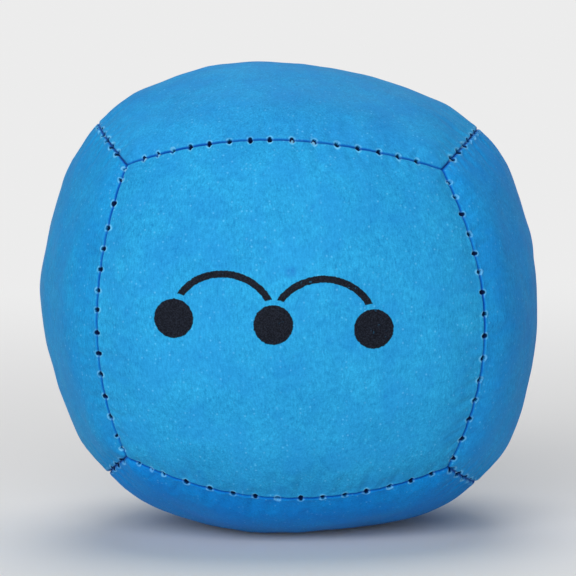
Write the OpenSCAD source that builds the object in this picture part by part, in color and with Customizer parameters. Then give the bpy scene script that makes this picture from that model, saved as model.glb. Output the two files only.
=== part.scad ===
// Six-panel beanbag juggling ball.
// Six soft leather panels with the topology of a cube are sewn inside out
// along twelve curved seams, turned, filled with millet and closed by hand.
// Front is -Y, up is +Z, the origin is the centre of the ball's box.

/* [Ball] */
// Width of the ball across two opposite side panels
ball_w = 66; // [58:1:74]
// Height standing on its foot, as a share of the width
squash = 0.962; // [0.96:0.002:0.97]
// Radius of each panel's own dome, as a share of half the width
crown = 1.24; // [1.2:0.01:1.3]
// Radius of the flat that the filling settles into underneath
foot_r = 13; // [9:0.5:15]

/* [Leather] */
// Thickness of the panel leather
skin = 1.2; // [0.9:0.1:1.3]
// How far the turned-in seam edges reach below the surface
allowance = 6; // [5:0.5:7]
// Width of the crease where two rolled edges meet
crease_w = 2.0; // [1.2:0.1:2.4]
// Depth of that crease
crease_d = 0.8; // [0.4:0.1:0.9]

/* [Stitching] */
// Distance between needle holes
pitch = 2.75; // [2.3:0.05:2.8]
// Needle holes in each seam
stitches = 15; // [9:2:15]
// Diameter of the seam thread
thread_d = 0.5; // [0.35:0.05:0.55]
// How far below the surface the stitch line runs
stitch_depth = 2.05; // [2:0.05:2.4]
// Distance between needle holes on the hand-sewn closing seam
closing_pitch = 3.1; // [2.6:0.1:3.2]
// Needle holes in the closing seam
closing_stitches = 13; // [9:2:13]

/* [Filling] */
// Room between the filling and the leather
fill_gap = 0.15; // [0.1:0.05:0.4]

/* [Hidden] */

blue = [0.15, 0.6, 0.84];
navy = [0.05, 0.13, 0.3];
grain = [0.87, 0.74, 0.45];

FRONT = 0; BACK = 1; LEFT = 2; RIGHT = 3; TOP = 4; BOTTOM = 5;
dir = [[0, -1, 0], [0, 1, 0], [-1, 0, 0], [1, 0, 0], [0, 0, 1], [0, 0, -1]];

dome_r = crown * ball_w / 2;
half_h = squash * ball_w / 2;
foot_sag = dome_r - sqrt(dome_r * dome_r - foot_r * foot_r);
// Distance from the origin to the crown of each panel's dome
crown_at = [ball_w / 2, ball_w / 2, ball_w / 2, ball_w / 2, half_h, half_h + foot_sag];
// Distance from the origin to the centre of each panel's dome, which lies behind it
back_off = [for (f = crown_at) dome_r - f];

gap = 0.03;             // between the two layers of a seam
hole_r = thread_d / 2 + 0.05;
pin_r = thread_d / 2;   // where the thread goes through both layers
run_r = pin_r * 0.88;   // where it runs along one layer
run_at = gap + skin + 0.02 + pin_r;
pin_half = run_at + pin_r;
big = 80;

// Seam frame of panels i and j: both domes meet in a circle, whose plane is
// halfway between the dome centres. x points out through the seam's middle,
// y runs along the seam, z points into panel i.
function seam_len(i, j) = norm([back_off[i], back_off[j]]);
function seam_z(i, j) = (back_off[i] * dir[i] - back_off[j] * dir[j]) / seam_len(i, j);
function seam_x(i, j) = (back_off[j] * dir[i] + back_off[i] * dir[j]) / seam_len(i, j);
function seam_mid(i, j) = -(back_off[i] * dir[i] + back_off[j] * dir[j]) / 2;
// Radius of the seam's circle at depth d below the surface
function seam_r(i, j, d) = sqrt(pow(dome_r - d, 2) - pow(seam_len(i, j) / 2, 2));
function is_neighbour(i, j) = dir[i] * dir[j] == 0;

module at_seam(i, j) {
    x = seam_x(i, j); z = seam_z(i, j); y = cross(z, x); m = seam_mid(i, j);
    multmatrix([[x[0], y[0], z[0], m[0]],
                [x[1], y[1], z[1], m[1]],
                [x[2], y[2], z[2], m[2]]])
        children();
}

module dome(i, d) {
    translate(-back_off[i] * dir[i])
        rotate([0, acos(dir[i][2]), atan2(dir[i][1], dir[i][0])])
            sphere(r = dome_r - d, $fn = 120);
}

// The pyramid of space that belongs to panel i, set back by d from its four seams
module sector(i, d) {
    intersection_for (j = [for (k = [0:5]) if (is_neighbour(i, k)) k])
        at_seam(i, j) translate([-big, -big, d]) cube(2 * big);
}

// Everything above the foot's plane, set back by d
module above_foot(d) {
    translate([-big, -big, -half_h + d]) cube(2 * big);
}

module crease(i, j) {
    r = seam_r(i, j, 0);
    rotate_extrude($fn = 180)
        polygon([[r - crease_d, 0], [r + 0.6, -crease_w * 0.75], [r + 0.6, crease_w * 0.75]]);
}

// The angle along the seam of panels i and j at which panel k cuts it off
function seam_end(i, j, k) =
    let (m = back_off[i] * dir[i] - back_off[k] * dir[k],
         x = seam_x(i, j), y = cross(seam_z(i, j), x), r = seam_r(i, j, 0),
         a = r * (m * x), b = r * (m * y),
         c = (pow(back_off[k], 2) - pow(back_off[i], 2)) / 2 - m * seam_mid(i, j))
    atan2(b, a) + sign(y * dir[k]) * acos(c / sqrt(a * a + b * b));
// The two panels at the ends of that seam, and the angle halfway between them
function across(i, j) = [for (k = [0:5]) if (is_neighbour(i, k) && is_neighbour(j, k)) k];
function seam_centre(i, j) = (seam_end(i, j, across(i, j)[0]) + seam_end(i, j, across(i, j)[1])) / 2;

function hole_angle(i, j, k, n, p) =
    seam_centre(i, j) + (k - (n - 1) / 2) * p / seam_r(i, j, stitch_depth) * 180 / PI;
function is_closing(i, j) = (i == LEFT && j == BOTTOM) || (i == BOTTOM && j == LEFT);
function holes(i, j) = is_closing(i, j) ? closing_stitches : stitches;
function spacing(i, j) = is_closing(i, j) ? closing_pitch : pitch;

module needle_holes(i, j) {
    r = seam_r(i, j, stitch_depth);
    for (k = [0:holes(i, j) - 1])
        rotate([0, 0, hole_angle(i, j, k, holes(i, j), spacing(i, j))])
            translate([r, 0, 0]) cylinder(h = 2 * (skin + 0.5), r = hole_r, center = true, $fn = 32);
}

// A panel: the domed skin, and one turned-in edge along each of its four seams
module panel(i) {
    difference() {
        intersection() {
            dome(i, 0);
            sector(i, gap);
            if (i == BOTTOM) above_foot(0);
        }
        intersection() {
            dome(i, skin);
            sector(i, gap + skin);
            if (i == BOTTOM) above_foot(skin);
        }
        dome(i, allowance);
        for (j = [for (k = [0:5]) if (is_neighbour(i, k)) k])
            at_seam(i, j) {
                crease(i, j);
                needle_holes(i, j);
            }
    }
}

// One seam's thread: it goes through both layers at each needle hole, and
// along the far side of one layer and then the other in between
module seam_thread(i, j) {
    r = seam_r(i, j, stitch_depth);
    n = holes(i, j);
    p = spacing(i, j);
    at_seam(i, j) union() {
        for (k = [0:n - 1])
            rotate([0, 0, hole_angle(i, j, k, n, p)])
                translate([r, 0, 0]) cylinder(h = 2 * pin_half, r = pin_r, center = true, $fn = 32);
        for (k = [0:n - 2]) {
            a = hole_angle(i, j, k, n, p);
            b = hole_angle(i, j, k + 1, n, p);
            rotate([0, 0, (a + b) / 2])
                translate([r * cos((b - a) / 2), 0, k % 2 == 0 ? run_at : -run_at])
                    rotate([90, 0, 0])
                        cylinder(h = 2 * r * sin((b - a) / 2), r = run_r, center = true, $fn = 32);
        }
    }
}

knot_at = pin_half + 0.02;
module at_knot() {
    i = LEFT; j = BOTTOM;
    n = holes(i, j);
    at_seam(i, j)
        rotate([0, 0, hole_angle(i, j, n - 1, n, spacing(i, j))])
            translate([seam_r(i, j, stitch_depth), 0, knot_at])
                children();
}

// Two turns of thread pulled tight against the last stitch
module knot() {
    turn = pin_r * 1.3;
    at_knot() union() {
        translate([0, 0, pin_r]) rotate_extrude($fn = 48) translate([turn, 0]) circle(r = pin_r, $fn = 24);
        translate([0, 0, pin_r * 2.4]) rotate_extrude($fn = 48) translate([turn * 0.9, 0]) circle(r = pin_r, $fn = 24);
        cylinder(h = pin_r * 3, r = turn, $fn = 48);
    }
}

// The grain as one body: it bulges into each panel between the turned-in edges
module fill() {
    edge = run_at + pin_r + fill_gap;
    difference() {
        union() {
            intersection_for (i = [0:5]) dome(i, allowance + fill_gap);
            for (i = [0:5])
                intersection() {
                    dome(i, skin + fill_gap);
                    sector(i, edge);
                    if (i == BOTTOM) above_foot(skin + fill_gap);
                }
        }
        at_knot() translate([0, 0, pin_r * 1.5]) sphere(r = pin_r * 4.2, $fn = 48);
    }
}

module panel_front() { color(blue) panel(FRONT); }
module panel_back() { color(blue) panel(BACK); }
module panel_left() { color(blue) panel(LEFT); }
module panel_right() { color(blue) panel(RIGHT); }
module panel_top() { color(blue) panel(TOP); }
module panel_bottom() { color(blue) panel(BOTTOM); }
module thread_front_left() { color(navy) seam_thread(FRONT, LEFT); }
module thread_front_right() { color(navy) seam_thread(FRONT, RIGHT); }
module thread_back_left() { color(navy) seam_thread(BACK, LEFT); }
module thread_back_right() { color(navy) seam_thread(BACK, RIGHT); }
module thread_front_top() { color(navy) seam_thread(FRONT, TOP); }
module thread_back_top() { color(navy) seam_thread(BACK, TOP); }
module thread_left_top() { color(navy) seam_thread(LEFT, TOP); }
module thread_right_top() { color(navy) seam_thread(RIGHT, TOP); }
module thread_front_bottom() { color(navy) seam_thread(FRONT, BOTTOM); }
module thread_back_bottom() { color(navy) seam_thread(BACK, BOTTOM); }
module thread_right_bottom() { color(navy) seam_thread(RIGHT, BOTTOM); }
module closing_thread() { color(navy) seam_thread(LEFT, BOTTOM); }
module closing_knot() { color(navy) knot(); }
module millet_fill() { color(grain) fill(); }

panel_front();
panel_back();
panel_left();
panel_right();
panel_top();
panel_bottom();
thread_front_left();
thread_front_right();
thread_back_left();
thread_back_right();
thread_front_top();
thread_back_top();
thread_left_top();
thread_right_top();
thread_front_bottom();
thread_back_bottom();
thread_right_bottom();
closing_thread();
closing_knot();
millet_fill();
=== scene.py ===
import math
import bpy
import numpy as np
from mathutils import Vector, Matrix, Quaternion
from mathutils.kdtree import KDTree


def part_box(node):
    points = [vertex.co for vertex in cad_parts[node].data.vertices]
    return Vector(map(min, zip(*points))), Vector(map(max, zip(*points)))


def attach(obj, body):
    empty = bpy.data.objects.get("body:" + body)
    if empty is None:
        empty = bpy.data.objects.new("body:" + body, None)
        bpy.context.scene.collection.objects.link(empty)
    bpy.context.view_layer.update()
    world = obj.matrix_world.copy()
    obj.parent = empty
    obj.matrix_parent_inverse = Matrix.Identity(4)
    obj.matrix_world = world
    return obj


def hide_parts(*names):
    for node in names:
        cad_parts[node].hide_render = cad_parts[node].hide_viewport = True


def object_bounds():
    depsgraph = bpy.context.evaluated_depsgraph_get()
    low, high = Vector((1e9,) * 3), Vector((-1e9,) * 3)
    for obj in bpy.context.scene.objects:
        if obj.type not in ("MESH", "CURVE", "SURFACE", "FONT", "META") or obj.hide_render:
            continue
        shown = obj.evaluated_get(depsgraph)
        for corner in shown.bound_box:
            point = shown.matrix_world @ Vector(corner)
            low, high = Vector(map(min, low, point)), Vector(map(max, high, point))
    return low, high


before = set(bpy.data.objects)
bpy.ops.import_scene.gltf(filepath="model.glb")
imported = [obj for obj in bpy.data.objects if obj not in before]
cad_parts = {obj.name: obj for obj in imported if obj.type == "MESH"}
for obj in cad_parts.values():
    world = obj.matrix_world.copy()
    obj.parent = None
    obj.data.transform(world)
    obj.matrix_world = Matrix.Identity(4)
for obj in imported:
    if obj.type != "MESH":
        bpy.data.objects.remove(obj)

cad_lo, cad_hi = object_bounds()

# ---------------------------------------------------------------- sizes, in mm
HALF_W = round((cad_hi.x - cad_lo.x) * 500, 1)
FOOT_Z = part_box("panel_bottom")[0].z * 1000
HALF_H = -FOOT_Z
DOME_R = 1.24 * HALF_W
FOOT_R = 13.0
FOOT_SAG = DOME_R - math.sqrt(DOME_R ** 2 - FOOT_R ** 2)
SKIN = 1.15
LIP = 5.4
ROLL = 0.44          # radius of a turned edge
PUFF = 0.42          # how far the filling pushes each panel out near its seams
PITCH = 2.75
STITCHES = 15
CLOSING = ("left", "bottom")
CLOSING_PITCH, CLOSING_STITCHES = 3.1, 13
# where the needle went along the four seams of the front panel, in mm from the seam's foot point
HOLES = {
    "front_left": [-17.6, -16.2, -12.6, -9.1, -6.2, -3.3, -0.3, 2.4, 5.7, 8.7, 11.7, 15.0, 18.1, 21.2, 23.1],
    "front_right": [-23.1, -20.0, -17.0, -14.3, -11.4, -8.4, -5.3, -2.3, 0.7, 3.5, 6.1, 8.8, 11.7, 14.2, 16.3],
    "front_top": [-19.4, -16.8, -14.1, -11.2, -8.3, -5.1, -2.0, 1.2, 4.0, 7.1, 10.1, 13.0, 15.7, 18.0, 20.2],
    "front_bottom": [-18.6, -16.7, -15.1, -11.8, -8.6, -5.6, -2.8, -0.1, 2.7, 5.3, 7.9, 10.4, 13.2, 15.8, 18.4],
}
# stitches that sit high enough for the thread to be seen, besides the odd one elsewhere
SHOWN = {"front_top": [5, 6, 13, 14], "front_left": [0, 1, 13, 14], "front_right": [0, 14],
         "left_top": [3, 11], "right_top": [3, 11], "front_bottom": [0, 1], "right_bottom": [1]}
NAMES = ["front", "back", "left", "right", "top", "bottom"]
N_OUT = {"front": (0, -1, 0), "back": (0, 1, 0), "left": (-1, 0, 0),
         "right": (1, 0, 0), "top": (0, 0, 1), "bottom": (0, 0, -1)}
U_DIR = {"front": (1, 0, 0), "back": (-1, 0, 0), "left": (0, -1, 0),
         "right": (0, 1, 0), "top": (1, 0, 0), "bottom": (1, 0, 0)}
N_OUT = {k: np.array(v, float) for k, v in N_OUT.items()}
U_DIR = {k: np.array(v, float) for k, v in U_DIR.items()}
V_DIR = {k: np.cross(N_OUT[k], U_DIR[k]) for k in NAMES}
CROWN = {k: HALF_W for k in NAMES}
CROWN["top"] = HALF_H
CROWN["bottom"] = HALF_H + FOOT_SAG
BACK = {k: DOME_R - CROWN[k] for k in NAMES}


def panel_at(direction):
    return next(k for k in NAMES if np.dot(N_OUT[k], direction) > 0.5)


def seam_plane(i, j):
    """Unit normal towards panel i, and the plane's offset."""
    m = BACK[i] * N_OUT[i] - BACK[j] * N_OUT[j]
    length = np.linalg.norm(m)
    return m / length, (BACK[j] ** 2 - BACK[i] ** 2) / (2 * length)


class Seam:
    """The curve where panels a and b meet, with its needle holes at uneven places."""

    def __init__(self, a, b):
        a, b = sorted((a, b), key=NAMES.index)
        self.a, self.b = a, b
        self.name = f"{a}_{b}"
        self.rng = np.random.default_rng(100 + 10 * NAMES.index(a) + NAMES.index(b))
        self.z, self.h = seam_plane(a, b)
        self.x = BACK[b] * N_OUT[a] + BACK[a] * N_OUT[b]
        self.x /= np.linalg.norm(self.x)
        self.y = np.cross(self.z, self.x)
        self.mid = -(BACK[a] * N_OUT[a] + BACK[b] * N_OUT[b]) / 2
        self.half = math.hypot(BACK[a], BACK[b]) / 2
        self.closing = (a, b) == CLOSING
        self.slit = 1.0 if self.name in HOLES else 1.75  # tighter seams pull their holes into slits
        n = CLOSING_STITCHES if self.closing else STITCHES
        p = CLOSING_PITCH if self.closing else PITCH
        self.n = n
        loose = 0.30 if self.closing else 0.13
        ends = []
        for k in (panel_at(self.y), panel_at(-self.y)):      # the panels that cut the seam off
            m = BACK[a] * N_OUT[a] - BACK[k] * N_OUT[k]
            A, B = self.r(0) * (m @ self.x), self.r(0) * (m @ self.y)
            C = (BACK[k] ** 2 - BACK[a] ** 2) / 2 - m @ self.mid
            ends.append(math.atan2(B, A) + np.sign(self.y @ N_OUT[k]) * math.acos(C / math.hypot(A, B)))
        centre = sum(ends) / 2 * self.r(0)
        even = centre + (np.arange(n) - (n - 1) / 2) * p
        jitter = self.rng.uniform(-loose, loose, n)
        self.holes = np.array(HOLES.get(self.name, even + jitter))
        self.open = self.rng.uniform(0.74, 1.0, n)      # how far each hole gapes
        pale = self.rng.random(n) < (0.34 if self.closing else 0.0 if self.name in HOLES else 0.12)
        pale[SHOWN.get(self.name, [])] = True
        self.shows = pale                               # where the thread fills the hole
        self.side = self.rng.uniform(-0.10, 0.10, n)    # which side of the crease it leans to

    def r(self, d):
        return math.sqrt((DOME_R - d) ** 2 - self.half ** 2)

    def along(self, p):
        q = p - self.mid
        return np.arctan2(q @ self.y, q @ self.x) * self.r(0)

    def point(self, tau, d, s):
        """A point at tau along the seam, depth d below the surface and s towards panel a."""
        phi = np.asarray(tau) / self.r(0)
        rr = np.sqrt((DOME_R - np.asarray(d)) ** 2 - self.half ** 2)
        return (self.mid + (rr * np.cos(phi))[..., None] * self.x
                + (rr * np.sin(phi))[..., None] * self.y + np.asarray(s)[..., None] * self.z)

    def stitch(self, tau):
        """Continuous stitch number, whole at each hole, and how open the hole is."""
        xs = np.concatenate([[self.holes[0] - 2.6], self.holes, [self.holes[-1] + 2.6]])
        k = np.arange(-1, self.n + 1)
        w = np.concatenate([[0], self.open, [0]])
        return np.interp(tau, xs, k), np.interp(tau, xs, w)


SEAMS = {}
for _i in NAMES:
    for _j in NAMES:
        if NAMES.index(_i) < NAMES.index(_j) and abs(N_OUT[_i] @ N_OUT[_j]) < 0.5:
            SEAMS[_i, _j] = Seam(_i, _j)


def seam_of(i, j):
    return SEAMS[tuple(sorted((i, j), key=NAMES.index))]


# ------------------------------------------------- the settled, handled shape
# A grain-filled ball never sits square: its corners and edges drift by a few
# millimetres. One shift (x, y, z) in mm for each corner, edge and face direction.
SETTLE = {
    (-1, -1, -1): (-1.6, 0.1, 4.8), (-1, -1, 0): (1.0, 0.1, 2.0), (-1, -1, 1): (3.0, 0.0, -0.5),
    (-1, 0, -1): (-2.0, 0.0, 2.9), (-1, 0, 0): (-0.9, 0.0, 3.4), (-1, 0, 1): (2.1, 0.0, 2.0),
    (0, -1, -1): (-2.7, 0.2, 1.4), (0, -1, 0): (0.7, -0.2, 0.3), (0, -1, 1): (-1.4, 0.0, -0.5),
    (0, 0, -1): (-3.1, 0.0, -0.9), (0, 0, 1): (-2.8, 0.0, -1.6),
    (1, -1, -1): (1.3, 0.1, 1.8), (1, -1, 0): (2.2, 0.2, 0.8), (1, -1, 1): (-4.4, 0.3, -1.8),
    (1, 0, -1): (5.0, 0.0, 0.2), (1, 0, 0): (-0.9, 0.0, 5.1), (1, 0, 1): (0.2, 0.0, -0.8),
    (-1, 1, -1): (0.3, -0.3, 1.6), (-1, 1, 0): (0.2, -0.2, 1.0), (-1, 1, 1): (0.8, -0.4, 0.2),
    (0, 1, -1): (-0.8, 0.2, 0.7), (0, 1, 0): (0.3, 0.1, 0.6), (0, 1, 1): (-0.6, -0.2, -0.7),
    (1, 1, -1): (0.2, -0.3, 0.9), (1, 1, 0): (0.6, 0.1, 0.8), (1, 1, 1): (-0.9, -0.2, -0.9),
}
CTRL = np.array([np.array(k, float) / np.linalg.norm(k) for k in SETTLE])
SHIFT = np.array(list(SETTLE.values()))


def settle(p, depth):
    """Moves points from the plain domed shape to the settled one. depth is each point's depth below the surface."""
    d = p / np.maximum(np.linalg.norm(p, axis=1, keepdims=True), 1e-6)
    ang = np.arccos(np.clip(d @ CTRL.T, -1, 1))
    w = np.exp(-(ang / 0.6) ** 2)
    w /= w.sum(1, keepdims=True)
    q = p + w @ SHIFT
    floor = FOOT_Z + depth
    z = q[:, 2] - floor
    q[:, 2] = floor + 0.5 * (z + np.sqrt(z * z + 1.0))
    return q


class Waves:
    """A smooth field: a sum of seeded plane waves between two wavelengths, about -1 to 1."""

    def __init__(self, seed, short, long, count=36):
        rng = np.random.default_rng(seed)
        k = rng.normal(size=(count, 3))
        k /= np.linalg.norm(k, axis=1, keepdims=True)
        self.k = k * (2 * np.pi / rng.uniform(short, long, count))[:, None]
        self.ph = rng.uniform(0, 2 * np.pi, count)

    def __call__(self, p):
        out = np.zeros(len(p))
        for k, ph in zip(self.k, self.ph):
            out += np.sin(p @ k + ph)
        return out * math.sqrt(2 / len(self.k)) * 0.6


swell = Waves(1, 11, 22)
ripple = Waves(2, 4.5, 8)
grainy = Waves(3, 1.7, 2.8, 48)


def dome_points(i, u, v, d, off):
    """Points of panel i. u and v run from -1 at one seam to 1 at the other, d is the depth below the dome, off the distance kept from the seam planes."""
    planes = {}
    for key, direction in (("+u", U_DIR[i]), ("-u", -U_DIR[i]), ("+v", V_DIR[i]), ("-v", -V_DIR[i])):
        m, h = seam_plane(i, panel_at(direction))
        planes[key] = (m, h + off)
    (mp, hp), (mm, hm) = planes["+u"], planes["-u"]
    A = (1 - u)[:, None] * mm - (1 + u)[:, None] * mp
    al = (1 - u) * hm - (1 + u) * hp
    (mp, hp), (mm, hm) = planes["+v"], planes["-v"]
    B = (1 - v)[:, None] * mm - (1 + v)[:, None] * mp
    be = (1 - v) * hm - (1 + v) * hp
    D = np.cross(A, B)
    D /= np.linalg.norm(D, axis=1, keepdims=True)
    D *= np.sign(D @ N_OUT[i])[:, None]
    AA, BB, AB = (A * A).sum(1), (B * B).sum(1), (A * B).sum(1)
    det = AA * BB - AB * AB
    x = (al * BB - be * AB) / det
    y = (be * AA - al * AB) / det
    p0 = x[:, None] * A + y[:, None] * B
    c = -BACK[i] * N_OUT[i]
    r = DOME_R - d
    w = p0 - c
    b = (w * D).sum(1)
    t = -b + np.sqrt(np.maximum(b * b - (w * w).sum(1) + r * r, 0))
    return p0 + t[:, None] * D


def relief(i, p):
    """Depth below the dome at each point of panel i: the turned edges, the needle holes, the gathers and the swell of the filling. Returns it with the two seam fields for the material."""
    near = {}
    depth = np.zeros(len(p))
    over = np.zeros(len(p))
    for axis, direction in (("u", U_DIR[i]), ("u", -U_DIR[i]), ("v", V_DIR[i]), ("v", -V_DIR[i])):
        j = panel_at(direction)
        m, h = seam_plane(i, j)
        seam = seam_of(i, j)
        s = np.maximum(p @ m - h, 0)
        tau = seam.along(p)
        t, w = seam.stitch(tau)
        k = np.clip(np.rint(t).astype(int), 0, seam.n - 1)
        x = tau - seam.holes[k]
        lean = seam.side[k] * (1 if i == seam.a else -1)
        shown = np.rint(t) + (t - np.rint(t)) / seam.slit
        live = w * (np.abs(t - np.rint(t)) < 0.5) * ((t > -0.5) & (t < seam.n - 0.5))
        over += np.maximum(ROLL - s, 0) ** 2
        # the hole itself, its raised rim and the gather around it
        q = np.sqrt((x / (0.31 * seam.slit)) ** 2 + ((s - lean) / 0.40) ** 2)
        depth += 0.95 * live * np.sqrt(np.maximum(1 - q * q, 0))
        depth -= 0.045 * live * np.exp(-((q - 1.45) / 0.40) ** 2)
        depth += 0.09 * live * np.exp(-(x / 0.75) ** 2 - (s / 1.2) ** 2)
        depth += 0.040 * live * np.exp(-(x / (0.40 + 0.16 * s)) ** 2) * np.exp(-s / 2.6) * np.minimum(s, 1)
        depth -= 0.045 * (0.5 - 0.5 * np.cos(2 * np.pi * t)) * np.exp(-((s - 1.1) / 1.3) ** 2)
        # seams are sewn tighter than the leather, so the surface dips towards them
        depth += 0.05 * np.exp(-(s / 2.2) ** 2)
        if axis not in near:
            near[axis] = [s, shown, w]
        else:
            closer = s < near[axis][0]
            near[axis] = [np.where(closer, a, b) for a, b in zip((s, shown, w), near[axis])]
    depth += ROLL - np.sqrt(np.maximum(ROLL ** 2 - over, 0))
    free = np.minimum(near["u"][0], near["v"][0])
    depth -= PUFF * np.exp(-((free - 6.0) / 5.0) ** 2) * (1 - np.exp(-(free / 1.5) ** 2))
    away = 1 - np.exp(-(free / 2.0) ** 2)
    depth -= away * (0.10 * swell(p) + 0.035 * ripple(p) + 0.010 * grainy(p))
    return depth, near["u"], near["v"]


# ------------------------------------------------------------- mesh building
COLL = bpy.context.scene.collection


def new_object(name, verts_mm, faces, uvs=None, attrs=None, smooth=True):
    me = bpy.data.meshes.new(name)
    faces = [np.asarray(f, np.int32) for f in faces if len(f)]
    loops = np.concatenate([f.ravel() for f in faces])
    sizes = np.concatenate([np.full(len(f), f.shape[1], np.int32) for f in faces])
    me.vertices.add(len(verts_mm))
    me.vertices.foreach_set("co", (np.asarray(verts_mm) * 0.001).astype(np.float32).ravel())
    me.loops.add(len(loops))
    me.loops.foreach_set("vertex_index", loops)
    me.polygons.add(len(sizes))
    starts = np.concatenate([[0], np.cumsum(sizes)[:-1]]).astype(np.int32)
    me.polygons.foreach_set("loop_start", starts)
    me.polygons.foreach_set("loop_total", sizes)
    me.update(calc_edges=True)
    me.polygons.foreach_set("use_smooth", np.full(len(sizes), smooth, bool))
    if uvs is not None:
        layer = me.uv_layers.new(name="OFBake")
        layer.data.foreach_set("uv", np.concatenate([u.reshape(-1, 2) for u in uvs]).astype(np.float32).ravel())
    for key, val in (attrs or {}).items():
        a = me.attributes.new(key, "FLOAT_VECTOR", "POINT")
        a.data.foreach_set("vector", np.asarray(val, np.float32).ravel())
    bad = me.validate()
    if bad:
        print("mesh", name, "was repaired")
    ob = bpy.data.objects.new(name, me)
    COLL.objects.link(ob)
    return ob


CLOTH_N = 61
CLOTH_SCALE = 0.02      # metres in the simulation for each mm, so the solver works at a comfortable size
CLOTH_FRAMES = 22
CLOTH_KEEP = 0.70


def press_cloth():
    """How the sewn leather settles under the push of the grain: a grid of depths in mm for each panel.

    Each panel is a cloth held along its seams, cut 3% larger than the opening it fills
    and blown outward until it rests. The even part of the swell is left out, because
    the settled shape already has it; the bulge along the seams and the puckers stay."""
    still = {i: np.zeros((CLOTH_N, CLOTH_N)) for i in NAMES}
    g = np.linspace(-1, 1, CLOTH_N)
    U, V = [a.ravel() for a in np.meshgrid(g, g, indexing="ij")]
    rim = (np.abs(U) > 0.999) | (np.abs(V) > 0.999)
    sq = np.arange(CLOTH_N ** 2).reshape(CLOTH_N, CLOTH_N)
    quads = np.stack([sq[:-1, :-1], sq[1:, :-1], sq[1:, 1:], sq[:-1, 1:]], -1).reshape(-1, 4)
    # a real cut is never even: the leather is a hair off the pattern here and there
    pts = np.concatenate([dome_points(i, U, V, 0.05 * ripple(dome_points(i, U, V, np.zeros(len(U)), 0.0)), 0.0)
                          for i in NAMES])
    faces = np.concatenate([quads + k * len(U) for k in range(len(NAMES))])
    me = bpy.data.meshes.new("cloth_press")
    me.from_pydata((pts * CLOTH_SCALE).tolist(), [], faces.tolist())
    ob = bpy.data.objects.new("cloth_press", me)
    COLL.objects.link(ob)
    group = ob.vertex_groups.new(name="seams")
    group.add(np.flatnonzero(np.tile(rim, len(NAMES))).tolist(), 1.0, "REPLACE")
    mod = ob.modifiers.new("cloth", "CLOTH")
    c = mod.settings
    c.vertex_group_mass = "seams"
    c.quality = 8
    c.mass = 0.3
    c.tension_stiffness = c.compression_stiffness = 15
    c.shear_stiffness = 5
    c.bending_stiffness = 0.35
    c.air_damping = 1
    c.shrink_min = -0.03
    c.use_pressure = True
    c.uniform_pressure_force = 4
    c.effector_weights.gravity = 0
    mod.collision_settings.use_collision = False
    mod.point_cache.frame_start, mod.point_cache.frame_end = 1, CLOTH_FRAMES + 1
    for f in range(1, CLOTH_FRAMES + 1):
        bpy.context.scene.frame_set(f)
    posed = ob.evaluated_get(bpy.context.evaluated_depsgraph_get())
    done = posed.to_mesh()
    co = np.zeros(len(pts) * 3)
    done.vertices.foreach_get("co", co)
    moved = (co.reshape(-1, 3) / CLOTH_SCALE - pts).reshape(len(NAMES), -1, 3)
    posed.to_mesh_clear()
    bpy.data.objects.remove(ob)
    bpy.data.meshes.remove(me)
    bpy.context.scene.frame_set(1)
    pts = pts.reshape(len(NAMES), -1, 3)
    basis = np.stack([(1 - U * U) * (1 - V * V) * U ** a * V ** b for a in range(4) for b in range(4 - a)], 1)
    for i, q, d in zip(NAMES, pts, moved):
        if not np.isfinite(d).all() or np.abs(d).max() > 4:
            continue
        out = q + BACK[i] * N_OUT[i]
        out /= np.linalg.norm(out, axis=1, keepdims=True)
        rise = (d * out).sum(1)
        even = basis @ np.linalg.lstsq(basis, rise, rcond=None)[0]
        still[i] = -np.clip((rise - even) * CLOTH_KEEP, -0.6, 0.6).reshape(CLOTH_N, CLOTH_N)
    return still


PUCKER = press_cloth()


def pucker_at(i, u, v):
    """The simulated puckers of panel i at any u and v."""
    grid = PUCKER[i]
    x, y = (u + 1) / 2 * (CLOTH_N - 1), (v + 1) / 2 * (CLOTH_N - 1)
    x0, y0 = np.clip(x.astype(int), 0, CLOTH_N - 2), np.clip(y.astype(int), 0, CLOTH_N - 2)
    fx, fy = x - x0, y - y0

    def cubic(a, b, c, d, t):
        return b + 0.5 * t * (c - a + t * (2 * a - 5 * b + 4 * c - d + t * (3 * (b - c) + d - a)))

    def at(ix, iy):
        return grid[np.clip(ix, 0, CLOTH_N - 1), np.clip(iy, 0, CLOTH_N - 1)]

    rows = [cubic(*[at(x0 + k, y0 + j) for j in (-1, 0, 1, 2)], fy) for k in (-1, 0, 1, 2)]
    return cubic(*rows, fx)


FINE = 261
COARSE = (FINE - 1) // 4 + 1


def perimeter(n):
    """Index pairs round an n by n grid, anticlockwise, without repeating the first."""
    a = [(k, 0) for k in range(n - 1)] + [(n - 1, k) for k in range(n - 1)]
    b = [(k, n - 1) for k in range(n - 1, 0, -1)] + [(0, k) for k in range(n - 1, 0, -1)]
    return np.array(a + b)


def spread(n, total):
    """u values: close together over the turned edges, even in between."""
    rows = 9
    psi = np.linspace(np.pi / 2, 0, rows)
    s = ROLL * (1 - np.sin(psi))
    edge = 1 - 2 * s / total
    mid = np.linspace(edge[-1], -edge[-1], n - 2 * rows + 2)
    return -np.concatenate([edge[:-1], mid, -edge[::-1][1:]])


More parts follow.
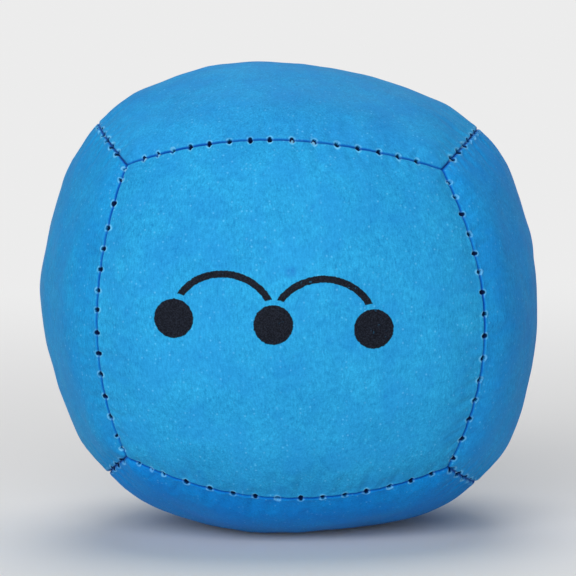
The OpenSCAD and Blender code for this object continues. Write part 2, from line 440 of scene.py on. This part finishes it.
def make_panel(i):
    total = 34.6
    g = spread(FINE, total)
    U, V = [a.ravel() for a in np.meshgrid(g, g, indexing="ij")]
    zero = np.zeros(len(U))
    flat = dome_points(i, U, V, zero, 0.0)
    depth, su, sv = relief(i, flat)
    hem = np.minimum(1 - np.abs(U), 1 - np.abs(V))
    depth += pucker_at(i, U, V) * (1 - np.exp(-(hem / 0.03) ** 2))
    outer = dome_points(i, U, V, depth, 0.02)
    ring_f = perimeter(FINE)
    per_f = ring_f[:, 0] * FINE + ring_f[:, 1]
    pu, pv = U[per_f], V[per_f]
    verts, depths = [outer], [depth]
    starts = [0]
    flap_d = [2.4, 3.8, LIP]
    for d in flap_d:
        starts.append(sum(len(x) for x in verts))
        verts.append(dome_points(i, pu, pv, np.full(len(pu), d), 0.02))
        depths.append(np.full(len(pu), d))
    # the inside, on a coarser grid
    gc = g[::4]
    UC, VC = [a.ravel() for a in np.meshgrid(gc, gc, indexing="ij")]
    ring_c = perimeter(COARSE)
    per_c = ring_c[:, 0] * COARSE + ring_c[:, 1]
    cu, cv = UC[per_c], VC[per_c]
    for d in (LIP, 3.2):
        starts.append(sum(len(x) for x in verts))
        verts.append(dome_points(i, cu, cv, np.full(len(cu), d), SKIN))
        depths.append(np.full(len(cu), d))
    starts.append(sum(len(x) for x in verts))
    verts.append(dome_points(i, UC, VC, np.full(len(UC), SKIN), SKIN))
    depths.append(np.full(len(UC), SKIN))
    P = settle(np.concatenate(verts), np.concatenate(depths))
    dep = np.concatenate(depths)

    # faces
    idx = np.arange(FINE * FINE).reshape(FINE, FINE)
    F_outer = np.stack([idx[:-1, :-1], idx[1:, :-1], idx[1:, 1:], idx[:-1, 1:]], -1).reshape(-1, 4)
    loops = [per_f] + [starts[k] + np.arange(len(per_f)) for k in (1, 2, 3)]
    F_flap = []
    for a, b in zip(loops[:-1], loops[1:]):
        an, bn = np.roll(a, -1), np.roll(b, -1)
        F_flap.append(np.stack([b, bn, an, a], -1))
    cl = [starts[k] + np.arange(len(per_c)) for k in (4, 5)] + [starts[6] + per_c]
    last = loops[-1]
    nc = len(per_c)
    tri = []
    for m in range(nc):
        f = [last[(4 * m + k) % len(last)] for k in range(5)]
        c0, c1 = cl[0][m], cl[0][(m + 1) % nc]
        tri += [(c0, f[1], f[0]), (c0, f[2], f[1]), (c0, c1, f[2]), (c1, f[3], f[2]), (c1, f[4], f[3])]
    F_tri = np.array(tri)
    F_in = []
    for a, b in zip(cl[:-1], cl[1:]):
        an, bn = np.roll(a, -1), np.roll(b, -1)
        F_in.append(np.stack([b, bn, an, a], -1))
    idc = starts[6] + np.arange(COARSE * COARSE).reshape(COARSE, COARSE)
    F_back = np.stack([idc[:-1, 1:], idc[1:, 1:], idc[1:, :-1], idc[:-1, :-1]], -1).reshape(-1, 4)

    # a map for baking: the outside fills most of the square, the turned edges ring it
    mid_row = P[idx[:, FINE // 2]]
    run = np.concatenate([[0], np.cumsum(np.linalg.norm(np.diff(mid_row, axis=0), axis=1))])
    run = run / run[-1] * 2 - 1
    square = np.stack(np.meshgrid(run, run, indexing="ij"), -1).reshape(-1, 2)
    centre, half = 0.44, 0.385
    uv = np.zeros((len(P), 2))
    uv[:FINE * FINE] = centre + half * square
    edge_f = square[per_f]
    for k, grow in ((1, 1.03), (2, 1.05), (3, 1.07)):
        uv[loops[k]] = centre + half * edge_f * grow
    edge_c = square.reshape(FINE, FINE, 2)[::4, ::4].reshape(-1, 2)[per_c]
    for k, grow in ((0, 1.09), (1, 1.115)):
        uv[cl[k]] = centre + half * edge_c * grow
    uvc = square.reshape(FINE, FINE, 2)[::4, ::4].reshape(-1, 2)
    uv[starts[6]:] = 0.94 + 0.05 * uvc
    groups = [F_outer] + F_flap + [F_tri] + F_in + [F_back]
    uvs = [uv[f] for f in groups]
    # the last ring of faces before the inside has its own place on the map
    ring_uv = uv.copy()
    ring_uv[cl[2]] = centre + half * edge_c * 1.135
    uvs[-2] = ring_uv[groups[-2]]

    def field(s3):
        a = np.zeros((len(P), 3))
        a[:, 0] = 9.0
        a[:FINE * FINE] = np.stack(s3, -1)
        return a

    attrs = {"seam_u": field(su), "seam_v": field(sv)}
    inside = np.zeros((len(P), 3))
    inside[:, 0] = dep
    inside[FINE * FINE:, 1] = 1
    attrs["depth"] = inside
    ob = new_object("leather_" + i, P, groups, uvs, attrs)
    return ob


# --------------------------------------------------------------------- thread
def sweep(path, radius, sides=10, ply=3, turn=1.1, depth=0.13, caps=True):
    """A twisted thread along a path in mm: ply strands, one turn every `turn` mm."""
    path = np.asarray(path, float)
    tan = np.gradient(path, axis=0)
    tan /= np.linalg.norm(tan, axis=1, keepdims=True)
    run = np.concatenate([[0], np.cumsum(np.linalg.norm(np.diff(path, axis=0), axis=1))])
    n = np.array([0.0, 0.0, 1.0]) if abs(tan[0][2]) < 0.9 else np.array([1.0, 0.0, 0.0])
    rings = []
    for k in range(len(path)):
        n = n - tan[k] * (n @ tan[k])
        n /= np.linalg.norm(n)
        b = np.cross(tan[k], n)
        th = np.arange(sides) * 2 * np.pi / sides
        rr = radius * (1 - depth * 0.5 + depth * 0.5 * np.cos(ply * (th - 2 * np.pi * run[k] / (turn * ply))))
        rings.append(path[k] + (rr * np.cos(th))[:, None] * n + (rr * np.sin(th))[:, None] * b)
    V = np.concatenate(rings + [path[:1], path[-1:]])
    m = len(path)
    idx = np.arange(m * sides).reshape(m, sides)
    nx = np.roll(idx, -1, axis=1)
    quads = np.stack([idx[:-1], nx[:-1], nx[1:], idx[1:]], -1).reshape(-1, 4)
    a, z = m * sides, m * sides + 1
    tris = np.concatenate([
        np.stack([np.full(sides, a), nx[0], idx[0]], -1),
        np.stack([np.full(sides, z), idx[-1], nx[-1]], -1)])
    return V, quads, tris


def smooth_path(pts, step):
    """A rounded path through points: Catmull-Rom, resampled at an even step."""
    p = np.asarray(pts, float)
    p = np.vstack([2 * p[0] - p[1], p, 2 * p[-1] - p[-2]])
    out = []
    for k in range(1, len(p) - 2):
        t = np.linspace(0, 1, 12, endpoint=False)[:, None]
        a, b, c, d = p[k - 1], p[k], p[k + 1], p[k + 2]
        out.append(0.5 * (2 * b + (c - a) * t + (2 * a - 5 * b + 4 * c - d) * t ** 2 + (3 * b - a - 3 * c + d) * t ** 3))
    out = np.vstack(out + [p[-2:-1]])
    run = np.concatenate([[0], np.cumsum(np.linalg.norm(np.diff(out, axis=0), axis=1))])
    want = np.linspace(0, run[-1], max(8, int(run[-1] / step)))
    return np.stack([np.interp(want, run, out[:, k]) for k in range(3)], -1)


def make_thread(seam):
    """The seam's thread: through both turned edges at each hole, then along one side. At the stitches set to show, the
    thread rises into the crease.
    """
    rng = np.random.default_rng(500 + NAMES.index(seam.a) * 10 + NAMES.index(seam.b))
    side_at, deep = SKIN + 0.30, 2.05
    tau, dep, s = [], [], []
    for k in range(seam.n):
        sign = 1 if k % 2 == 0 else -1
        top = rng.uniform(0.50, 0.62) if seam.shows[k] else 1.75
        lean = rng.uniform(-0.12, 0.12)
        x = seam.holes[k]
        for f, dd in ((-1.0, deep), (-0.55, 0.6 * deep + 0.4 * top), (-0.22, 0.12 * deep + 0.88 * top),
                      (0.22, 0.12 * deep + 0.88 * top), (0.55, 0.6 * deep + 0.4 * top), (1.0, deep)):
            tau.append(x + lean * (1 - abs(f)) * 1.5 * (1 if f > 0 else -1))
            dep.append(dd)
            s.append(sign * f * side_at)
    base = seam.point(np.array(tau), np.array(dep), np.array(s))
    path = smooth_path(base, 0.11)
    V, quads, tris = sweep(path, 0.24)
    V = settle(V, np.full(len(V), 1.2))
    return new_object("seam_thread_" + seam.name, V, [quads, tris])


def make_knot(seam):
    """An overhand knot pulled tight on the last stitch of the closing seam."""
    t = np.linspace(0, 2 * np.pi, 120)
    R = 0.50
    knot = np.stack([np.sin(t) + 2 * np.sin(2 * t), np.cos(t) - 2 * np.cos(2 * t), -1.1 * np.sin(3 * t)], -1) * R * 0.32
    k = seam.n - 1
    sign = 1 if k % 2 == 0 else -1
    c = seam.point(np.array([seam.holes[k]]), np.array([2.05]), np.array([sign * (SKIN + 0.85)]))[0]
    path = c + knot[:, :1] * seam.x + knot[:, 1:2] * seam.y + knot[:, 2:] * seam.z
    V, quads, tris = sweep(path, 0.22, sides=10)
    V = settle(V, np.full(len(V), 1.2))
    return new_object("closing_seam_knot", V, [quads, tris])


# --------------------------------------------------------------------- millet
def make_millet():
    """The filling as one body of packed grains, hollowed along the turned-in edges."""
    n = 88
    g = np.tan(np.linspace(-1, 1, n) * np.pi / 4)
    verts, faces, key = [], [], {}
    index = np.zeros((6, n, n), np.int64)
    pts = []
    for f, i in enumerate(NAMES):
        A, B = np.meshgrid(g, g, indexing="ij")
        d = N_OUT[i] + A[..., None] * U_DIR[i] + B[..., None] * V_DIR[i]
        d = d / np.linalg.norm(d, axis=-1, keepdims=True)
        for a in range(n):
            for b in range(n):
                if 0 < a < n - 1 and 0 < b < n - 1:
                    index[f, a, b] = len(pts)
                    pts.append(d[a, b])
                    continue
                k = tuple(np.round(d[a, b], 5) + 0.0)
                if k not in key:
                    key[k] = len(pts)
                    pts.append(d[a, b])
                index[f, a, b] = key[k]
        ix = index[f]
        faces.append(np.stack([ix[:-1, :-1], ix[1:, :-1], ix[1:, 1:], ix[:-1, 1:]], -1).reshape(-1, 4))
    d = np.array(pts)
    r = np.full(len(d), 1e9)
    for i in NAMES:
        c, dn = BACK[i], d @ N_OUT[i]
        r = np.minimum(r, -c * dn + np.sqrt((c * dn) ** 2 - c * c + (DOME_R - SKIN - 0.25) ** 2))
    p = d * r[:, None]
    gap = np.full(len(d), 99.0)
    for seam in SEAMS.values():
        other = np.abs(p @ seam.z - seam.h)
        facing = (d @ N_OUT[seam.a] > 0.2) & (d @ N_OUT[seam.b] > 0.2)
        gap = np.where(facing, np.minimum(gap, other), gap)
    r = r - 4.6 / (1 + np.exp((gap - 2.6) / 0.25))
    m = 4200
    k = np.arange(m) + 0.5
    ph, th = np.arccos(1 - 2 * k / m), np.pi * (1 + 5 ** 0.5) * k
    rng = np.random.default_rng(9)
    seeds = np.stack([np.cos(th) * np.sin(ph), np.sin(th) * np.sin(ph), np.cos(ph)], -1) + rng.normal(0, 0.006, (m, 3))
    tree = KDTree(m)
    for q, s in enumerate(seeds):
        tree.insert(Vector(s / np.linalg.norm(s)), q)
    tree.balance()
    near = np.array([tree.find(Vector(x))[2] for x in d])
    size = 0.95
    bump = np.sqrt(np.maximum(size ** 2 - (near * r) ** 2, 0.02)) - size
    p = d * (r + bump)[:, None]
    P = settle(p, np.full(len(p), SKIN + 0.3))
    return new_object("millet_grains", P, faces)


# ------------------------------------------------------------------ materials
class Nodes:
    """Short names for building a node tree."""

    def __init__(self, name):
        self.mat = bpy.data.materials.new(name)
        self.mat.use_nodes = True
        self.t = self.mat.node_tree
        self.t.nodes.clear()
        self.out = self.t.nodes.new("ShaderNodeOutputMaterial")
        self.bsdf = self.t.nodes.new("ShaderNodeBsdfPrincipled")
        self.t.links.new(self.bsdf.outputs[0], self.out.inputs[0])

    def put(self, sock, value):
        if isinstance(value, bpy.types.NodeSocket):
            self.t.links.new(value, sock)
        elif value is not None:
            if hasattr(sock.default_value, "__len__") and not hasattr(value, "__len__"):
                sock.default_value = [value] * len(sock.default_value)
            elif hasattr(value, "__len__") and len(sock.default_value) == 4 and len(value) == 3:
                sock.default_value = (*value, 1)
            else:
                sock.default_value = value

    def math(self, op, a, b=None, c=None, clamp=False):
        n = self.t.nodes.new("ShaderNodeMath")
        n.operation, n.use_clamp = op, clamp
        for k, v in enumerate((a, b, c)):
            if v is not None:
                self.put(n.inputs[k], v)
        return n.outputs[0]

    def ramp(self, x, lo, hi, out_lo=0.0, out_hi=1.0):
        n = self.t.nodes.new("ShaderNodeMapRange")
        n.interpolation_type = "SMOOTHSTEP"
        for k, v in enumerate((x, lo, hi, out_lo, out_hi)):
            self.put(n.inputs[k], v)
        return n.outputs[0]

    def mix(self, fac, a, b, mode="MIX"):
        n = self.t.nodes.new("ShaderNodeMix")
        n.data_type, n.blend_type = "RGBA", mode
        self.put(n.inputs[0], fac)
        self.put(n.inputs[6], a)
        self.put(n.inputs[7], b)
        return n.outputs[2]

    def noise(self, vec, scale, detail=2.0, rough=0.5, distort=0.0):
        n = self.t.nodes.new("ShaderNodeTexNoise")
        self.put(n.inputs["Vector"], vec)
        n.inputs["Scale"].default_value = scale
        n.inputs["Detail"].default_value = detail
        n.inputs["Roughness"].default_value = rough
        n.inputs["Distortion"].default_value = distort
        return n.outputs["Fac"]

    def voronoi(self, vec, scale, feature="F1"):
        n = self.t.nodes.new("ShaderNodeTexVoronoi")
        n.feature = feature
        self.put(n.inputs["Vector"], vec)
        n.inputs["Scale"].default_value = scale
        return n

    def place(self, vec, loc=(0, 0, 0), rot=(0, 0, 0), scale=(1, 1, 1)):
        n = self.t.nodes.new("ShaderNodeMapping")
        self.put(n.inputs[0], vec)
        n.inputs[1].default_value = loc
        n.inputs[2].default_value = rot
        n.inputs[3].default_value = scale
        return n.outputs[0]

    def split(self, vec):
        n = self.t.nodes.new("ShaderNodeSeparateXYZ")
        self.put(n.inputs[0], vec)
        return n.outputs

    def attr(self, name):
        n = self.t.nodes.new("ShaderNodeAttribute")
        n.attribute_name = name
        return n.outputs["Vector"]

    def own(self):
        return self.t.nodes.new("ShaderNodeTexCoord").outputs["Object"]

    def bump(self, height, strength, distance, normal=None):
        n = self.t.nodes.new("ShaderNodeBump")
        n.inputs["Strength"].default_value = strength
        n.inputs["Distance"].default_value = distance
        self.put(n.inputs["Height"], height)
        if normal is not None:
            self.put(n.inputs["Normal"], normal)
        return n.outputs[0]


HAZE = 0.84          # brightness of the studio's far end


def srgb(r, g, b, k=1.0):
    def lin(c):
        c /= 255
        return c / 12.92 if c <= 0.04045 else ((c + 0.055) / 1.055) ** 2.4
    return tuple(min(1.0, lin(c) * k) for c in (r, g, b))


BASE_DARK = srgb(24, 130, 194, 0.82)
BASE_LIGHT = srgb(56, 184, 236, 0.88)


# painted shade: each panel's colours are scaled for the shade its side gets, the bottom darkest and bluest, the two
# sides next
PANEL_SHADE = {"front": (0.95, 0.98, 0.975), "back": (0.9, 0.97, 1), "left": (0.66, 0.88, 0.95),
       "right": (0.64, 0.89, 1.04), "top": (0.96, 0.94, 0.98), "bottom": (0.28, 0.76, 1.03)}


def leather(name, shift, panel_shade, mark=False):
    m = Nodes(name)

    # painted shade: scales a colour by this panel's shade
    def shaded(c):
        return tuple(min(1.0, a * k) for a, k in zip(c, panel_shade))

    own = m.own()
    vec = m.place(own, loc=shift)
    # cloth-backed suede finish: fine nap, running up and down the panel
    fine = m.noise(vec, 5600, 3, 0.6)
    nap = m.noise(m.place(vec, scale=(1, 1, 0.34)), 4200, 2, 0.55)
    mid = m.noise(vec, 950, 3, 0.6)
    big = m.noise(vec, 105, 2.5, 0.55)
    hue = m.noise(m.place(vec, loc=(3, 1, 7)), 210, 2, 0.5)
    tone = m.math("MULTIPLY_ADD", fine, 1.0, -0.5)
    tone = m.math("ADD", tone, m.math("MULTIPLY_ADD", nap, 1.10, -0.55))
    tone = m.math("ADD", tone, m.math("MULTIPLY_ADD", mid, 0.56, -0.28))
    tone = m.math("ADD", tone, m.math("MULTIPLY_ADD", big, 0.50, -0.25))
    tone = m.math("ADD", tone, 0.5, clamp=True)
    col = m.mix(tone, shaded(BASE_DARK), shaded(BASE_LIGHT))
    col = m.mix(m.ramp(hue, 0.35, 0.68, 0.0, 0.35), col, shaded(srgb(40, 144, 218, 0.84)))
    # pale fibre ends standing out of the nap
    cell = m.voronoi(vec, 1700)
    pick = m.ramp(m.split(cell.outputs["Color"])[0], 0.55, 1.0)
    dot = m.math("MULTIPLY", m.ramp(cell.outputs["Distance"], 0.32, 0.08), pick)
    col = m.mix(m.math("MULTIPLY", dot, 0.34), col, srgb(124, 206, 242))
    # now and then a darker fleck
    cell2 = m.voronoi(m.place(vec, loc=(1, 4, 2)), 620)
    pick2 = m.math("GREATER_THAN", m.split(cell2.outputs["Color"])[1], 0.90)
    dot2 = m.math("MULTIPLY", m.ramp(cell2.outputs["Distance"], 0.24, 0.08), pick2)
    col = m.mix(m.math("MULTIPLY", dot2, 0.30), col, srgb(24, 104, 182))

    rough = m.math("MULTIPLY_ADD", mid, 0.18, 0.60)
    height = m.math("ADD", m.math("MULTIPLY", fine, 0.6), m.math("MULTIPLY", nap, 0.7))
    holes = None
    for which in ("seam_u", "seam_v"):
        s, t, w = m.split(m.attr(which))
        near = m.math("ABSOLUTE", m.math("SUBTRACT", t, m.math("ROUND", t)))
        x = m.math("MULTIPLY", near, PITCH)
        q = m.math("SQRT", m.math("ADD", m.math("POWER", m.math("DIVIDE", x, 0.31), 2.0),
                                  m.math("POWER", m.math("DIVIDE", s, 0.44), 2.0)))
        live = m.ramp(w, 0.15, 0.6)
        # stretched leather goes pale round each needle hole
        rim = m.math("MULTIPLY", m.math("MULTIPLY", m.ramp(q, 0.95, 1.2), m.ramp(q, 1.85, 1.3)), live)
        rim = m.math("MULTIPLY", rim, m.ramp(mid, 0.30, 0.60, 0.25, 1.0))
        col = m.mix(m.math("MULTIPLY", rim, 0.46), col, srgb(140, 212, 244))
        # painted shade in the crease, with a little dirt: the crease is coloured darker
        crease = m.ramp(s, 0.30, 0.06)
        col = m.mix(m.math("MULTIPLY", crease, m.ramp(big, 0.35, 0.65, 0.55, 0.95)), col, srgb(3, 72, 166))
        # painted shade: the inside of each needle hole is coloured near-black navy
        hole_shade = m.math("MULTIPLY", m.ramp(q, 1.15, 0.80), live)
        col = m.mix(m.math("MULTIPLY", hole_shade, 0.97), col, srgb(7, 10, 50))
        rough = m.math("ADD", rough, m.math("MULTIPLY", hole_shade, 0.2), clamp=True)
        holes = hole_shade if holes is None else m.math("MAXIMUM", holes, hole_shade)
    if mark:
        # a faint old smudge above the print
        smx, _, smz = m.split(m.place(own, loc=(-0.0007, 0, -0.0049)))
        sm = m.math("SQRT", m.math("ADD", m.math("MULTIPLY", smx, smx), m.math("MULTIPLY", smz, smz)))
        sm = m.math("MULTIPLY", m.ramp(sm, 0.0010, 0.0002), m.ramp(mid, 0.35, 0.6, 0.2, 0.6))
        col = m.mix(sm, col, srgb(30, 92, 176))
        # a generic print: three balls and the two arcs they are tossed along
        px = m.place(own, loc=(0.0014, 0, -0.0006))
        px = m.place(px, rot=(0, math.radians(-3.5), 0))
        x, _, z = m.split(px)
        x, z = m.math("MULTIPLY", x, 1000.0), m.math("MULTIPLY", z, 1000.0)
        wob = m.noise(own, 2600, 2, 0.6)
        wobble = m.math("MULTIPLY_ADD", wob, 0.26, -0.13)
        ink = None
        for mid_x, half, rise, low in ((-6.3, 6.3, 5.6, -1.9), (6.3, 6.3, 5.6, -1.9)):
            X = m.math("DIVIDE", m.math("SUBTRACT", x, mid_x), half)
            Y = m.math("DIVIDE", m.math("SUBTRACT", z, low), rise)
            F = m.math("SUBTRACT", m.math("ADD", m.math("MULTIPLY", X, X), m.math("MULTIPLY", Y, Y)), 1.0)
            gx, gy = m.math("MULTIPLY", X, 2 / half), m.math("MULTIPLY", Y, 2 / rise)
            grad = m.math("SQRT", m.math("ADD", m.math("MULTIPLY", gx, gx), m.math("MULTIPLY", gy, gy)))
            dist = m.math("DIVIDE", m.math("ABSOLUTE", F), m.math("MAXIMUM", grad, 0.01))
            arc = m.ramp(m.math("ADD", dist, wobble), 0.50, 0.40)
            arc = m.math("MULTIPLY", arc, m.ramp(Y, 0.0, 0.02))
            ink = arc if ink is None else m.math("MAXIMUM", ink, arc)
        for bx in (-12.6, 0.0, 12.6):
            dx, dz = m.math("SUBTRACT", x, bx), m.math("SUBTRACT", z, -2.3)
            r = m.math("SQRT", m.math("ADD", m.math("MULTIPLY", dx, dx), m.math("MULTIPLY", dz, dz)))
            r = m.math("ADD", r, wobble)
            ink = m.math("MULTIPLY", ink, m.ramp(r, 3.10, 3.24))
            ink = m.math("MAXIMUM", ink, m.ramp(r, 2.56, 2.44))
        # the ink has worn away a little in patches
        worn = m.ramp(m.noise(own, 1700, 3, 0.65), 0.66, 0.78, 0.0, 0.45)
        ink = m.math("MULTIPLY", ink, m.math("SUBTRACT", 1.0, worn))
        shade = m.mix(m.ramp(fine, 0.35, 0.7), srgb(14, 17, 24), srgb(34, 38, 48))
        col = m.mix(ink, col, shade)
        rough = m.math("SUBTRACT", rough, m.math("MULTIPLY", ink, 0.14))
        height = m.math("ADD", height, m.math("MULTIPLY", ink, 0.55))
    m.put(m.bsdf.inputs["Base Color"], col)
    m.put(m.bsdf.inputs["Roughness"], rough)
    m.bsdf.inputs["Specular IOR Level"].default_value = 0.03
    m.bsdf.inputs["Sheen Weight"].default_value = 0.05
    m.bsdf.inputs["Sheen Roughness"].default_value = 0.35
    m.bsdf.inputs["Sheen Tint"].default_value = (0.72, 0.80, 1.0, 1)
    n = m.bump(height, 0.55, 0.00006)
    m.put(m.bsdf.inputs["Normal"], n)
    return m.mat


def thread_material():
    m = Nodes("polyester_thread")
    own = m.own()
    n = m.noise(own, 5200, 2, 0.5)
    fuzz = m.noise(m.place(own, loc=(2, 2, 2)), 9000, 2, 0.6)
    col = m.mix(n, srgb(86, 170, 214), srgb(150, 212, 238))
    m.put(m.bsdf.inputs["Base Color"], col)
    m.put(m.bsdf.inputs["Roughness"], m.math("MULTIPLY_ADD", n, 0.2, 0.5))
    m.bsdf.inputs["Sheen Weight"].default_value = 0.2
    m.put(m.bsdf.inputs["Normal"], m.bump(fuzz, 0.5, 0.00003))
    return m.mat


def millet_material():
    m = Nodes("millet_hulls")
    own = m.own()
    cell = m.voronoi(own, 520)
    n = m.noise(own, 1800, 3, 0.6)
    tone = m.math("MULTIPLY_ADD", m.split(cell.outputs["Color"])[0], 0.7, m.math("MULTIPLY", n, 0.3))
    col = m.mix(tone, srgb(206, 160, 84), srgb(238, 212, 150))
    m.put(m.bsdf.inputs["Base Color"], col)
    m.put(m.bsdf.inputs["Roughness"], m.math("MULTIPLY_ADD", n, 0.25, 0.35))
    m.put(m.bsdf.inputs["Normal"], m.bump(n, 0.3, 0.00008))
    return m.mat


def floor_material():
    m = Nodes("studio_floor")
    own = m.own()
    n = m.noise(own, 3.0, 2, 0.5)
    col = m.mix(n, (0.825, 0.785, 0.735), (0.845, 0.805, 0.755))
    m.put(m.bsdf.inputs["Base Color"], col)
    m.put(m.bsdf.inputs["Roughness"], m.math("MULTIPLY_ADD", n, 0.1, 0.72))
    m.bsdf.inputs["Specular IOR Level"].default_value = 0.15
    # painted light: the floor is mixed with a glow that grows with distance, a little already beside the ball, so far
    # away it meets the bright end of the studio without a line
    x, y, _ = m.split(own)
    r = m.math("SQRT", m.math("ADD", m.math("MULTIPLY", x, x), m.math("MULTIPLY", y, y)))
    glow = m.t.nodes.new("ShaderNodeEmission")
    glow.inputs[0].default_value = (HAZE, HAZE, HAZE, 1)
    blend = m.t.nodes.new("ShaderNodeMixShader")
    m.put(blend.inputs[0], m.ramp(r, -0.02, 0.44))
    m.put(blend.inputs[1], m.bsdf.outputs[0])
    m.put(blend.inputs[2], glow.outputs[0])
    m.put(m.out.inputs[0], blend.outputs[0])
    return m.mat


# --------------------------------------------------------------- the object
thread_mat = thread_material()
for k, i in enumerate(NAMES):
    ob = make_panel(i)
    ob.data.materials.append(leather("suede_leather_" + i, (0.37 * k, 0.21 * k, 0.13 * k), PANEL_SHADE[i], mark=(i == "front")))
    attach(ob, "root")
    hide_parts("panel_" + i)

for (a, b), seam in SEAMS.items():
    ob = make_thread(seam)
    ob.data.materials.append(thread_mat)
    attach(ob, "root")
    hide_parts("closing_thread" if seam.closing else f"thread_{a}_{b}")

knot = make_knot(seam_of(*CLOSING))
knot.data.materials.append(thread_mat)
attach(knot, "root")
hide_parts("closing_knot")

grains = make_millet()
grains.data.materials.append(millet_material())
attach(grains, "root")
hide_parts("millet_fill")

# ------------------------------------------------------------ studio and view
rest_z = FOOT_Z * 0.001
bpy.ops.mesh.primitive_circle_add(vertices=128, radius=40.0, fill_type="NGON", location=(0, 0, rest_z))
floor = bpy.context.active_object
floor.name = "studio_floor"
floor.data.materials.append(floor_material())

world = bpy.data.worlds.new("studio")
bpy.context.scene.world = world
world.use_nodes = True
wt = world.node_tree
# a bright band all round at the horizon, and a dim ceiling
coord = wt.nodes.new("ShaderNodeTexCoord")
parts = wt.nodes.new("ShaderNodeSeparateXYZ")
wt.links.new(coord.outputs["Generated"], parts.inputs[0])
band = wt.nodes.new("ShaderNodeMapRange")
band.interpolation_type = "SMOOTHSTEP"
wt.links.new(parts.outputs[2], band.inputs[0])
for k, v in zip((1, 2, 3, 4), (0.05, 0.13, 0.0, 1.0)):
    band.inputs[k].default_value = v
tint = wt.nodes.new("ShaderNodeMix")
tint.data_type = "RGBA"
wt.links.new(band.outputs[0], tint.inputs[0])
tint.inputs[6].default_value = (HAZE, HAZE, HAZE, 1)
tint.inputs[7].default_value = (0.045, 0.085, 0.145, 1)
wt.links.new(tint.outputs[2], wt.nodes["Background"].inputs[0])


def softbox(name, at, aim, size, level, color=(1, 1, 1)):
    """A round soft light. level is how bright it makes a white surface that faces it at the ball."""
    data = bpy.data.lights.new(name, "AREA")
    data.shape = "DISK"
    data.size = size
    data.energy = level * math.pi ** 2 * Vector(at).length_squared
    data.color = color
    ob = bpy.data.objects.new(name, data)
    COLL.objects.link(ob)
    ob.location = at
    ob.rotation_euler = (Vector(aim) - Vector(at)).to_track_quat("-Z", "Y").to_euler()
    return ob


softbox("key", (-0.27, -1.27, 0.45), (0, 0, 0), 1.35, 1.14)
softbox("overhead", (0.02, 0.20, 1.10), (0, 0, 0), 0.85, 0.44)
softbox("behind", (0.05, 0.95, 0.80), (0, 0, 0), 0.70, 0.16)

cam_data = bpy.data.cameras.new("camera")
cam = bpy.data.objects.new("camera", cam_data)
COLL.objects.link(cam)
bpy.context.scene.camera = cam
DIST, ELEV, YAW, TILT, PX_MM = 0.440, 0.0757, 0.0149, 0.0129, 7.409
back = Vector((math.sin(YAW) * math.cos(ELEV), -math.cos(YAW) * math.cos(ELEV), math.sin(ELEV)))
right = Vector((math.cos(YAW), math.sin(YAW), 0))
up = back.cross(right)
rolled_right = right * math.cos(TILT) - up * math.sin(TILT)
rolled_up = up * math.cos(TILT) + right * math.sin(TILT)
rot = Matrix((rolled_right, rolled_up, back)).transposed()
cam.rotation_euler = rot.to_euler()
cam_data.sensor_width = 36
cam_data.lens = 36 * PX_MM * DIST * 1000 / 576
off_x, off_y = (288 - 289.01) / PX_MM / 1000, (291.13 - 288) / PX_MM / 1000
cam.location = back * DIST + rolled_right * off_x + rolled_up * off_y
cam_data.clip_start, cam_data.clip_end = 0.01, 100
cam_data.dof.use_dof = False

sc = bpy.context.scene
sc.view_settings.view_transform = "Standard"
sc.view_settings.look = "None"
